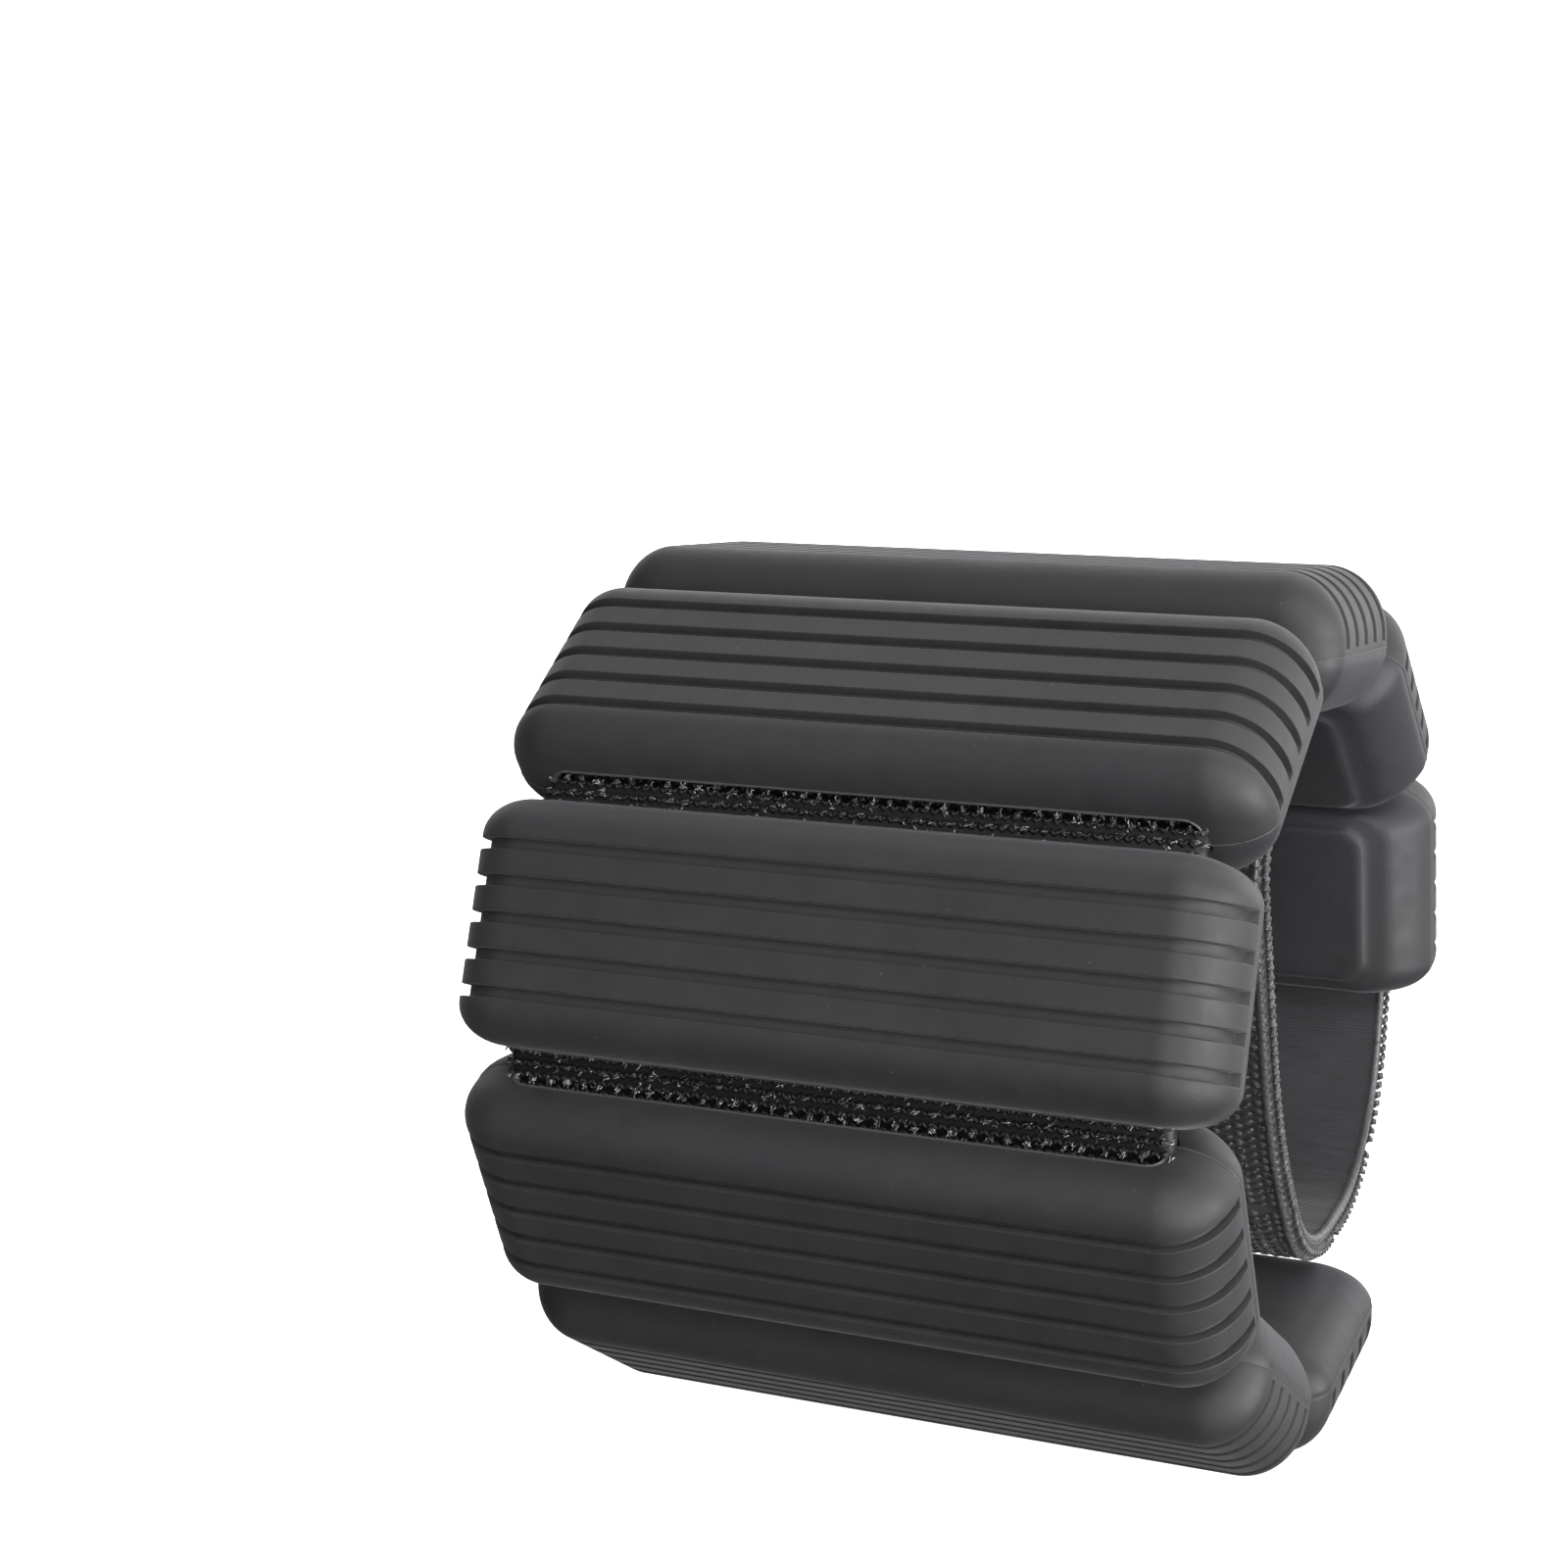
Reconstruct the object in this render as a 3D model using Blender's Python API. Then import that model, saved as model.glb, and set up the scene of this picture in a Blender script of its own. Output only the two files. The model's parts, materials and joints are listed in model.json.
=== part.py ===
"""Cuff weight for an ankle or wrist: eight steel-cored silicone bars on one elastic band, closed by a strap tail.

Metres, +Z up. X is the cuff's axis. Bar 1 lies flat on the ground, and the other bars climb from it on the -Y side,
over the top and down the +Y side. The band leaves bar 8 as the strap, crosses the gap at the lower back, passes over
the inside of bar 1 and runs up through the ring to the inside of bar 5. The origin is the middle of the bounding
box's base.

Every bar has one frame: x along the bar, y along the band (u), z out of the ring (v). Its hinge line is at v = 0.
"""

import math

import bmesh
import bpy
from mathutils import Matrix, Vector

# Ring. Each turn is the angle from one bar to the next at rest, in degrees.
HINGE_PITCH = 0.026
BAR_TURNS = (41.7, 34.7, 42.6, 36.3, 38.7, 38.5, 38.8)
BAR_COUNT = len(BAR_TURNS) + 1

# Bar, measured from the hinge line: v is the distance outwards.
BAR_LENGTH = 0.0824
BAR_WIDTH = 0.0256
OUTER_V = 0.0102
PARTING_V = 0.0042
SHOULDER_V = -0.0046
PANEL_V = -0.0058
PLAN_RADIUS = 0.0055
LONG_EDGE_RADIUS = 0.0045
END_RADIUS_X = 0.0060
END_RADIUS_V = 0.0052
FIT_GAP = 0.0003

# Grooves along the outer face. They run out over both ends and stop short of the parting line.
GROOVE_COUNT = 5
GROOVE_PITCH = 0.0038
GROOVE_WIDTH = 0.0013
GROOVE_DRAFT = 0.00015
GROOVE_DEPTH = 0.0009
GROOVE_STOP = 0.0007

# Band, the slot that it runs in, and the steel core under it.
BAND_WIDTH = 0.071
BAND_THICKNESS = 0.0030
BAND_V = 0.0024
SLOT_END_RADIUS = 0.0012
CORE_SIZE = (0.068, 0.0176, 0.0040)
CORE_EDGE = 0.0006
CORE_TOP_V = 0.0003

# Bar 1 has a lower inner face and a thinner core than the others, because the strap passes over it.
CLOSURE_BAR = 1
CLOSURE_SHOULDER_V = -0.0019
CLOSURE_PANEL_V = -0.0024
CLOSURE_CORE_HEIGHT = 0.0014

# Strap: each length and the turn that leads into it, in degrees.
STRAP_SPANS = ((0.0133, 19.7), (0.0136, 35.1), (0.0211, 38.0), (0.0235, 59.9), (0.0355, 21.5), (0.0127, 81.4))
STRAP_END_CLEARANCE = 0.00025
STRAP_EXIT_CLEARANCE = 0.0005
HOOK_THICKNESS = 0.0010
HOOK_MARGIN = 0.0020

ARC_STEPS = 3
CORNER_STEPS = 4


def clear_scene():
    for old in list(bpy.data.objects):
        bpy.data.objects.remove(old, do_unlink=True)


def material(name, colour, roughness, metallic=0.0):
    made = bpy.data.materials.new(name)
    made.use_nodes = True
    shader = made.node_tree.nodes["Principled BSDF"]
    shader.inputs["Base Color"].default_value = (*colour, 1.0)
    shader.inputs["Roughness"].default_value = roughness
    shader.inputs["Metallic"].default_value = metallic
    return made


def mesh_object(name, points, faces, look):
    mesh = bpy.data.meshes.new(name)
    mesh.from_pydata(points, [], faces)
    mesh.validate()
    shape = bmesh.new()
    shape.from_mesh(mesh)
    bmesh.ops.recalc_face_normals(shape, faces=shape.faces)
    shape.to_mesh(mesh)
    shape.free()
    mesh.shade_smooth()
    mesh.set_sharp_from_angle(angle=math.radians(35))
    made = bpy.data.objects.new(name, mesh)
    made.data.materials.append(look)
    bpy.context.scene.collection.objects.link(made)
    return made


def place(piece, parent, location=(0.0, 0.0, 0.0)):
    piece.parent = parent
    piece.location = location


def bevelled_box(name, size, centre, look, edge, segments=1):
    shape = bmesh.new()
    bmesh.ops.create_cube(shape, size=1.0, matrix=Matrix.Translation(centre) @ Matrix.Diagonal((*size, 1.0)))
    mesh = bpy.data.meshes.new(name)
    shape.to_mesh(mesh)
    shape.free()
    made = bpy.data.objects.new(name, mesh)
    made.data.materials.append(look)
    bpy.context.scene.collection.objects.link(made)
    bevel = made.modifiers.new("edges", "BEVEL")
    bevel.width = edge
    bevel.segments = segments
    bevel.limit_method = "ANGLE"
    return made


def cutter_box(name, low, high):
    size = [b - a for a, b in zip(low, high)]
    centre = [(a + b) / 2 for a, b in zip(low, high)]
    shape = bmesh.new()
    bmesh.ops.create_cube(shape, size=1.0, matrix=Matrix.Translation(centre) @ Matrix.Diagonal((*size, 1.0)))
    mesh = bpy.data.meshes.new(name)
    shape.to_mesh(mesh)
    shape.free()
    made = bpy.data.objects.new(name, mesh)
    bpy.context.scene.collection.objects.link(made)
    made.hide_render = True
    made.display_type = "WIRE"
    return made


def cut(piece, cutter):
    boolean = piece.modifiers.new(cutter.name, "BOOLEAN")
    boolean.operation = "DIFFERENCE"
    boolean.solver = "EXACT"
    boolean.object = cutter


def side_arc():
    """(u, v) points of the rounded long edge on the +u side, from the outer face to the side wall."""
    inner_u = BAR_WIDTH / 2 - LONG_EDGE_RADIUS
    arc = []
    for step in range(ARC_STEPS + 1):
        angle = math.pi / 2 * step / ARC_STEPS
        u = inner_u + LONG_EDGE_RADIUS * math.sin(angle)
        v = OUTER_V - LONG_EDGE_RADIUS * (1 - math.cos(angle))
        arc.append((u, v))
    return arc


def cover_columns():
    """(u, top v, depth below the skin) of each lengthwise line of the cover, from -u to +u."""
    edge = [(u, v, 0.0) for u, v in side_arc()]
    grooves = []
    for index in range(GROOVE_COUNT):
        centre = (index - (GROOVE_COUNT - 1) / 2) * GROOVE_PITCH
        brink = GROOVE_WIDTH / 2
        floor = brink - GROOVE_DRAFT
        for offset, depth in ((-brink, 0.0), (-floor, GROOVE_DEPTH), (floor, GROOVE_DEPTH), (brink, 0.0)):
            grooves.append((centre + offset, OUTER_V, depth))
    return [(-u, v, depth) for u, v, depth in reversed(edge)] + grooves + edge


def half_length(u):
    """Half the bar's length at u, inside its rounded plan corners."""
    over = max(0.0, abs(u) - (BAR_WIDTH / 2 - PLAN_RADIUS))
    return BAR_LENGTH / 2 - PLAN_RADIUS + math.sqrt(max(0.0, PLAN_RADIUS**2 - over**2))


def end_curve(u, top, depth, bottom):
    """(x, v) points at the +x end of one lengthwise line, from the bottom edge up to the outer face."""
    end_x = half_length(u)
    radius_v = min(END_RADIUS_V, top - bottom - 2 * GROOVE_STOP)
    curve = [(end_x, bottom), (end_x, bottom + GROOVE_STOP)]
    for step in range(CORNER_STEPS + 1):
        angle = math.pi / 2 * step / CORNER_STEPS
        x = end_x - END_RADIUS_X + (END_RADIUS_X - depth) * math.cos(angle)
        v = top - radius_v + (radius_v - depth) * math.sin(angle)
        curve.append((x, v))
    return curve


def cover(name, look):
    """Ribbed outer moulding: a grid of lengthwise lines, closed by two side walls and a flat underside."""
    bottom = PARTING_V + FIT_GAP / 2
    lines = []
    points = []
    for u, top, depth in cover_columns():
        right = end_curve(u, top, depth, bottom)
        outline = [(-x, v) for x, v in right] + [(x, v) for x, v in reversed(right)]
        lines.append([len(points) + index for index in range(len(outline))])
        points += [(x, u, v) for x, v in outline]
    faces = []
    for line, following in zip(lines, lines[1:]):
        for index in range(len(line) - 1):
            faces.append((line[index], line[index + 1], following[index + 1], following[index]))
    faces.append(tuple(lines[0]))
    faces.append(tuple(lines[-1]))
    faces.append(tuple([line[0] for line in lines] + [line[-1] for line in reversed(lines)]))
    return mesh_object(name, points, faces, look)


def plan_ring(half_x, half_u, radius, v):
    """Rounded rectangle at height v."""
    ring = []
    for quarter, (sign_x, sign_u) in enumerate(((1, 1), (-1, 1), (-1, -1), (1, -1))):
        for step in range(ARC_STEPS + 1):
            angle = math.pi / 2 * (quarter + step / ARC_STEPS)
            x = sign_x * (half_x - radius) + radius * math.cos(angle)
            u = sign_u * (half_u - radius) + radius * math.sin(angle)
            ring.append((x, u, v))
    return ring


def base_levels(number):
    """(half length, half width, plan radius, v) down the inner moulding, from the parting plane to the panel."""
    half_x = BAR_LENGTH / 2
    half_u = BAR_WIDTH / 2
    wall = ((half_x, half_u, PLAN_RADIUS, PARTING_V - FIT_GAP / 2), (half_x, half_u, PLAN_RADIUS, 0.0008))
    if number == CLOSURE_BAR:
        return wall + (
            (half_x - 0.0010, half_u - 0.0007, PLAN_RADIUS, -0.0008),
            (half_x - 0.0028, half_u - 0.0018, PLAN_RADIUS, CLOSURE_SHOULDER_V),
            (half_x - 0.0052, half_u - 0.0034, PLAN_RADIUS, CLOSURE_PANEL_V),
        )
    return wall + (
        (half_x - 0.0010, half_u - 0.0006, PLAN_RADIUS, -0.0014),
        (half_x - 0.0030, half_u - 0.0014, PLAN_RADIUS, -0.0034),
        (half_x - 0.0056, half_u - 0.0026, PLAN_RADIUS, SHOULDER_V),
        (half_x - 0.0062, half_u - 0.0034, PLAN_RADIUS, PANEL_V),
    )


def base(name, number, look):
    """Inner moulding with its panel. The band's slot and the core's pocket are cut from it afterwards."""
    levels = base_levels(number)
    points = []
    for level in levels:
        points += plan_ring(*level)
    count = len(points) // len(levels)
    faces = [tuple(range(count)), tuple(range(len(points) - count, len(points)))]
    for ring in range(len(levels) - 1):
        for index in range(count):
            following = (index + 1) % count
            low = ring * count
            faces.append((low + index, low + following, low + count + following, low + count + index))
    return mesh_object(name, points, faces, look)


def slot_cutter(name):
    half_x = BAND_WIDTH / 2 + FIT_GAP
    floor = BAND_V - BAND_THICKNESS / 2 - FIT_GAP
    ceiling = PARTING_V + BAND_THICKNESS
    cutter = cutter_box(name, (-half_x, -BAR_WIDTH, floor), (half_x, BAR_WIDTH, ceiling))
    bevel = cutter.modifiers.new("round_ends", "BEVEL")
    bevel.width = SLOT_END_RADIUS
    bevel.segments = 2
    bevel.limit_method = "ANGLE"
    return cutter


def pocket_cutter(name, core_size):
    length, width, height = core_size
    floor = CORE_TOP_V - height - FIT_GAP
    low = (-length / 2 - FIT_GAP, -width / 2 - FIT_GAP, floor)
    high = (length / 2 + FIT_GAP, width / 2 + FIT_GAP, BAND_V)
    return cutter_box(name, low, high)


def add_bar(number, hinge, looks):
    """The four pieces of one bar, on the empty at its first hinge line."""
    middle = (0.0, HINGE_PITCH / 2, 0.0)
    prefix = f"bar_{number}"
    cap = cover(f"{prefix}_cover", looks["silicone"])
    inner = base(f"{prefix}_base", number, looks["silicone"])
    height = CLOSURE_CORE_HEIGHT if number == CLOSURE_BAR else CORE_SIZE[2]
    core_size = (*CORE_SIZE[:2], height)
    for cutter in (slot_cutter(f"{prefix}_slot_cutter"), pocket_cutter(f"{prefix}_pocket_cutter", core_size)):
        cut(inner, cutter)
        place(cutter, hinge, middle)
    core_centre = (0.0, 0.0, CORE_TOP_V - height / 2)
    core = bevelled_box(f"{prefix}_core", core_size, core_centre, looks["steel"], CORE_EDGE)
    band_size = (BAND_WIDTH, BAR_WIDTH, BAND_THICKNESS)
    band = bevelled_box(f"{prefix}_band", band_size, (0.0, 0.0, BAND_V), looks["loop_band"], CORE_EDGE)
    for piece in (cap, inner, core, band):
        place(piece, hinge, middle)


def strap_end(turn):
    """How far a strap span stops short of a hinge that turns this far, so that its corners clear."""
    return BAND_THICKNESS / 2 * math.tan(math.radians(turn) / 2) + STRAP_END_CLEARANCE


def add_strap_span(number, hinge, start, stop, looks):
    """One span of the strap, from start to stop along the empty's +Y."""
    size = (BAND_WIDTH, stop - start, BAND_THICKNESS)
    centre = (0.0, (start + stop) / 2, 0.0)
    span = bevelled_box(f"strap_{number}", size, centre, looks["webbing"], CORE_EDGE)
    place(span, hinge)


def add_hook_patch(hinge, start, stop, looks):
    """Hook patch on the outward face of the last span."""
    size = (BAND_WIDTH - 2 * HOOK_MARGIN, stop - start - 2 * HOOK_MARGIN, HOOK_THICKNESS)
    height = BAND_THICKNESS / 2 + FIT_GAP + HOOK_THICKNESS / 2
    patch = bevelled_box("hook_patch", size, (0.0, (start + stop) / 2, height), looks["hook"], HOOK_THICKNESS / 4)
    place(patch, hinge)


def hinge_empty(name, parent, location, turn):
    made = bpy.data.objects.new(name, None)
    bpy.context.scene.collection.objects.link(made)
    made.empty_display_size = HINGE_PITCH / 4
    made.parent = parent
    made.location = location
    made.rotation_euler = (-math.radians(turn), 0.0, 0.0)
    return made


def root_location():
    """Place of bar 1's first hinge line: its outer face is on the ground, and the ring is centred in Y."""
    section = side_arc() + [(-u, v) for u, v in side_arc()]
    heading = math.pi
    joint = Vector((0.0, 0.0))
    reach = []
    for turn in (0.0, *BAR_TURNS):
        heading -= math.radians(turn)
        along = Vector((math.cos(heading), math.sin(heading)))
        out = Vector((-along.y, along.x))
        for u, v in section:
            reach.append((joint + (HINGE_PITCH / 2 + u) * along + v * out).x)
        joint += HINGE_PITCH * along
    return (0.0, -(min(reach) + max(reach)) / 2, OUTER_V)


def build():
    clear_scene()
    looks = {
        "silicone": material("silicone", (0.047, 0.047, 0.052), 0.62),
        "steel": material("steel", (0.42, 0.42, 0.43), 0.35, 1.0),
        "loop_band": material("loop_band", (0.012, 0.012, 0.014), 0.9),
        "webbing": material("webbing", (0.028, 0.028, 0.032), 0.85),
        "hook": material("hook", (0.015, 0.015, 0.017), 0.8),
    }
    hinge = hinge_empty("bar_1_frame", None, root_location(), 180.0)
    add_bar(1, hinge, looks)
    for number, turn in enumerate(BAR_TURNS, start=2):
        hinge = hinge_empty(f"bar_{number}_hinge", hinge, (0.0, HINGE_PITCH, 0.0), turn)
        add_bar(number, hinge, looks)
    turns = [turn for _, turn in STRAP_SPANS] + [0.0]
    location = (0.0, HINGE_PITCH, BAND_V)
    for number, (length, turn) in enumerate(STRAP_SPANS, start=1):
        hinge = hinge_empty(f"strap_{number}_hinge", hinge, location, turn)
        start = strap_end(turn) + (STRAP_EXIT_CLEARANCE if number == 1 else 0.0)
        stop = length - strap_end(turns[number])
        add_strap_span(number, hinge, start, stop, looks)
        location = (0.0, length, 0.0)
    add_hook_patch(hinge, start, stop, looks)


build()
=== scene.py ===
"""Looks of the ankle cuff weight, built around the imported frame.

Eight two-part silicone bars with ribbed covers, the tufted elastic band that joins them, and the woven strap
tail that closes the cuff from the inside. Millimetres are used for shapes, and MM turns them into metres.

A bar's own frame is x along the bar, u along the band and v out of the ring, with the hinge lines at v = 0.
The band and the strap are laid out along one route in the YZ plane: s is the distance along it and h the
height above its middle, outwards.
"""

import json
import math

import bmesh
import bpy
import numpy as np
from mathutils import Matrix, Vector


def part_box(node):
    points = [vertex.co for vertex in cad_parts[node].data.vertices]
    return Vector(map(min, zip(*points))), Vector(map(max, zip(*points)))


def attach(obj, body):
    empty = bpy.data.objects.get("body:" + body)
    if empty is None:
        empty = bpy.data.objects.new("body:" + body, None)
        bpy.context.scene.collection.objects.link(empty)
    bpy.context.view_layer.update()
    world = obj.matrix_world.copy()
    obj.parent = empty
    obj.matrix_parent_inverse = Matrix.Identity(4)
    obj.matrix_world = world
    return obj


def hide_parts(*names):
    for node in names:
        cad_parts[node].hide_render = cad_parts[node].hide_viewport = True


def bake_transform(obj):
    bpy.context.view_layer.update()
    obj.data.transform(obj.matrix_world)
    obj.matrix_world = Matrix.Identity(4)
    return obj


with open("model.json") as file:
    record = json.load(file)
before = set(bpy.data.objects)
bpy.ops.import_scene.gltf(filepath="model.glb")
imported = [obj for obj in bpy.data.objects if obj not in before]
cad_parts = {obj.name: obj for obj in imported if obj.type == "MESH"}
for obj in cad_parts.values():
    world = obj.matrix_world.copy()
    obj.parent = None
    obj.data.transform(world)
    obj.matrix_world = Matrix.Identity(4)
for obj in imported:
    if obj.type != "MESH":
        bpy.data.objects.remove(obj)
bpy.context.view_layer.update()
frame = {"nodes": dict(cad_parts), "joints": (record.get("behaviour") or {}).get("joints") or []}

MM = 0.001
RNG = np.random.default_rng(11)
BAR_COUNT = 8
HALF_PITCH = 13.0
STRAP_COUNT = 6
WELD = 0.002
QUARTER = math.pi / 2

# Bar, in its own frame. EDGE_X and EDGE_U are the reach of its rounded edges at the ends and the long sides,
# and each wall's v is where its rounding starts.
HALF_X = 41.2
HALF_U = 12.8
EDGE_X = 6.6
EDGE_U = 4.2
OUTER_V = 10.2
END_WALL_V = 2.7
SIDE_WALL_V = 5.2
COVER_BOTTOM_V = 1.715
BASE_TOP_V = 1.685
FLAT_X = HALF_X - EDGE_X
FLAT_U = HALF_U - EDGE_U
PARTING_EDGE = 0.07
PARTING_LAND = 0.6
BAR_SHARP_ANGLE = 38

# Grooves of the cover: half width, edge rounding, wall draft, depth, floor rounding and where they stop.
GROOVES = 5
GROOVE_PITCH = 3.8
GROOVE_HALF = 0.65
GROOVE_DRAFT = 0.03
GROOVE_DEPTH = 1.0
GROOVE_LIP = 0.10
GROOVE_FLOOR_RADIUS = 0.12
GROOVE_STOP_V = 2.5
# Cover rings below the edge's curve: rise above the grooves' stop, v at the sides, share of the groove depth.
GROOVE_RUNOUT = ((0.12, 4.6, 1.0), (0.03, 4.0, 0.85), (-0.02, 3.4, 0.12), (-0.08, 2.6, 0.0))

# Inner moulding: how far each level lies inside the bar's outline along x and u, and its v.
BASE_LEVELS = (
    (0.0, 0.0, 1.55),
    (0.0, 0.0, 0.60),
    (0.9, 0.60, -1.60),
    (2.4, 1.25, -3.50),
    (3.7, 1.85, -4.60),
    (5.3, 2.75, -4.95),
    (6.1, 3.25, -5.20),
    (6.8, 3.70, -5.80),
    (8.6, 5.20, -5.80),
)
CLOSURE_LEVELS = (
    (0.0, 0.0, 1.55),
    (0.0, 0.0, 0.80),
    (0.9, 0.65, -0.90),
    (2.6, 1.75, -1.95),
    (4.6, 3.00, -2.30),
    (5.6, 3.80, -2.40),
    (8.6, 5.60, -2.40),
)
PANEL_CORNER = 2.6

# The cover's opening for the band is shorter than the base's, and its ends run out in an S to the parting
# line. A fine lip follows it, and thins in LIP_FADE steps to the flash along the parting line.
COVER_SLOT_HALF_X = 34.6
COVER_SLOT_TOP_V = 4.65
COVER_SLOT_CORNER = 1.5
COVER_SLOT_FOOT = 0.9
BASE_SLOT_HALF_X = 35.55
BASE_SLOT_FLOOR_V = 0.6
BASE_SLOT_CORNER = 0.9
SLOT_MOUTH = 0.3
LIP_RADIUS = 0.15
LIP_FADE = 6
FLASH_RADIUS = 0.055

# Route of the band and strap. A bend starts its cut before its corner.
BAND_V = 2.4
BAND_HALF_X = 35.5
BAND_HALF_T = 1.5
BAND_FACE_HIGH = 0.95
BAND_BEND_CUT = 2.1
STRAP_EXIT_CUT = 3.4
STRAP_CUT_SHARE = 0.92
BEND_STEPS = 48

# Band between two bars: its knitted ground, and rows of tufts and dashes across it.
CROSSING_HALF = 4.4
GROUND_HALF_X = 34.9
GROUND_PITCH_X = 1.065
GROUND_PITCH_S = 1.1
GROUND_HIGH = 0.86
GROUND_LEAN = math.radians(38)
PILE_HALF_X = 35.4
PILE_PITCH = 1.92
PILE_ROWS = (-3.9, -2.6, -1.3, 0.0, 1.3, 2.6, 3.9)
TUFT_FILAMENTS = 15
DASH_FILAMENTS = 9
STRAY_TUFTS = 40

# Strap: ribs of the inner face, height of the two layers' joint and of the knit, and its stitches.
RIB_PERIOD = 0.38
RIB_HEIGHT = 0.05
STRAP_INNER_HIGH = -0.25
KNIT_HIGH = 0.85
KNIT_COLUMNS = 27
KNIT_LEAN = math.radians(20)
STITCH_PITCH_S = 1.12
STITCH_PITCH_X = 1.25
STRAP_END_GAP = 0.3
# Braided columns along each edge: x, h and which way the stitches lean.
EDGE_COLUMNS = (
    (BAND_HALF_X + 0.02, -0.42, 1),
    (BAND_HALF_X + 0.02, 0.34, -1),
    (BAND_HALF_X - 0.66, KNIT_HIGH - 0.08, 1),
)
# Fuzzy cords that bind each edge's inner and outer corner: inset, h and radius.
EDGE_CORDS = ((0.42, -1.16, 0.50), (0.80, 0.86, 0.34))

# Hook tape on the strap's end.
HOOK_HALF_X = 33.2
HOOK_FROM_BEND = 4.2
HOOK_FROM_END = 1.6
HOOK_PITCH_X = 1.15
HOOK_PITCH_S = 1.0

# Softboxes: name, place, side length and power.
SOFTBOXES = (
    ("front_high_softbox", (0.38, -0.62, 0.85), 0.35, 5.6),
    ("front_right_softbox", (0.50, -0.87, 0.20), 0.7, 4.5),
    ("back_top_softbox", (0.10, 0.60, 0.90), 1.0, 6.6),
    ("right_low_softbox", (0.98, -0.20, 0.02), 0.7, 24.0),
    ("right_back_softbox", (0.55, 0.82, 0.18), 0.8, 5.5),
    ("left_fill", (-0.80, -0.60, 0.40), 0.9, 0.3),
    ("left_back_fill", (-0.70, 0.80, 0.50), 0.9, 3.0),
)
SOFTBOX_AIM = (0.0, 0.0, 0.05)
FLOOR_RADIUS = 6.0
FLOOR_DROP = 0.0002
FLOOR_SIDES = 64

# Camera: azimuth, elevation and roll in degrees, the point it looks at, its distance and its lens.
CAMERA_ANGLES = (26.15, 19.73, -4.95)
CAMERA_AIM = (-0.02137, -0.00158, 0.06980)
CAMERA_DISTANCE = 0.3252
CAMERA_LENS = 67.35


# ---- meshes


def grid_quads(rows, columns, closed):
    """Quads of a grid of points stored row by row, closed across the columns if asked."""
    last = columns if closed else columns - 1
    row, column = np.meshgrid(np.arange(rows - 1), np.arange(last), indexing="ij")
    row, column = row.ravel(), column.ravel()
    following = (column + 1) % columns
    low, high = row * columns, (row + 1) * columns
    return np.stack([low + column, low + following, high + following, high + column], axis=1)


def ends_of(rows, count):
    """The two faces that close a tube of rows of `count` points."""
    last = (len(rows) - 1) * count
    return [range(count), range(last, last + count)]


def mesh_from(name, points, faces, smooth_angle=None):
    """A smooth-shaded mesh, with sharp edges above the angle if one is given."""
    mesh = bpy.data.meshes.new(name)
    mesh.from_pydata(np.asarray(points, float).tolist(), [], [tuple(int(i) for i in f) for f in faces])
    mesh.validate()
    mesh.shade_smooth()
    if smooth_angle is not None:
        mesh.set_sharp_from_angle(angle=math.radians(smooth_angle))
    return mesh


def quad_mesh(name, points, quads):
    """A mesh of quads only, from arrays, for the pieces with many small tubes."""
    mesh = bpy.data.meshes.new(name)
    mesh.vertices.add(len(points))
    mesh.vertices.foreach_set("co", np.ascontiguousarray(points, np.float32).ravel())
    mesh.loops.add(quads.size)
    mesh.loops.foreach_set("vertex_index", np.ascontiguousarray(quads, np.int32).ravel())
    mesh.polygons.add(len(quads))
    mesh.polygons.foreach_set("loop_start", np.arange(0, quads.size, 4, dtype=np.int32))
    mesh.update(calc_edges=True)
    mesh.shade_smooth()
    return mesh


def welded(mesh, distance):
    """Merges points that lie together, and turns every face outwards."""
    shape = bmesh.new()
    shape.from_mesh(mesh)
    bmesh.ops.remove_doubles(shape, verts=shape.verts, dist=distance)
    bmesh.ops.dissolve_degenerate(shape, edges=shape.edges, dist=distance)
    bmesh.ops.recalc_face_normals(shape, faces=shape.faces)
    shape.to_mesh(mesh)
    shape.free()
    return mesh


def placed(name, mesh, look, matrix=None):
    """A new object of the mesh. The look is used only if the mesh has none of its own."""
    obj = bpy.data.objects.new(name, mesh)
    bpy.context.scene.collection.objects.link(obj)
    if look is not None and not mesh.materials:
        mesh.materials.append(look)
    if matrix is not None:
        obj.matrix_world = matrix
    return obj


def applied_cut(obj, cutter):
    """The object's mesh with the cutter taken out of it."""
    boolean = obj.modifiers.new("cut", "BOOLEAN")
    boolean.operation = "DIFFERENCE"
    boolean.solver = "EXACT"
    boolean.object = cutter
    graph = bpy.context.evaluated_depsgraph_get()
    mesh = bpy.data.meshes.new_from_object(obj.evaluated_get(graph), depsgraph=graph)
    obj.modifiers.remove(boolean)
    return mesh


def chaikin(rows, rounds):
    """Rounds off the corners of an open line of points, keeping its ends."""
    rows = np.asarray(rows, float)
    for _ in range(rounds):
        near = rows[:-1] * 0.75 + rows[1:] * 0.25
        far = rows[:-1] * 0.25 + rows[1:] * 0.75
        middle = np.stack([near, far], axis=1).reshape(-1, rows.shape[1])
        rows = np.concatenate([rows[:1], middle[1:-1], rows[-1:]])
    return rows


# ---- bars


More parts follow.
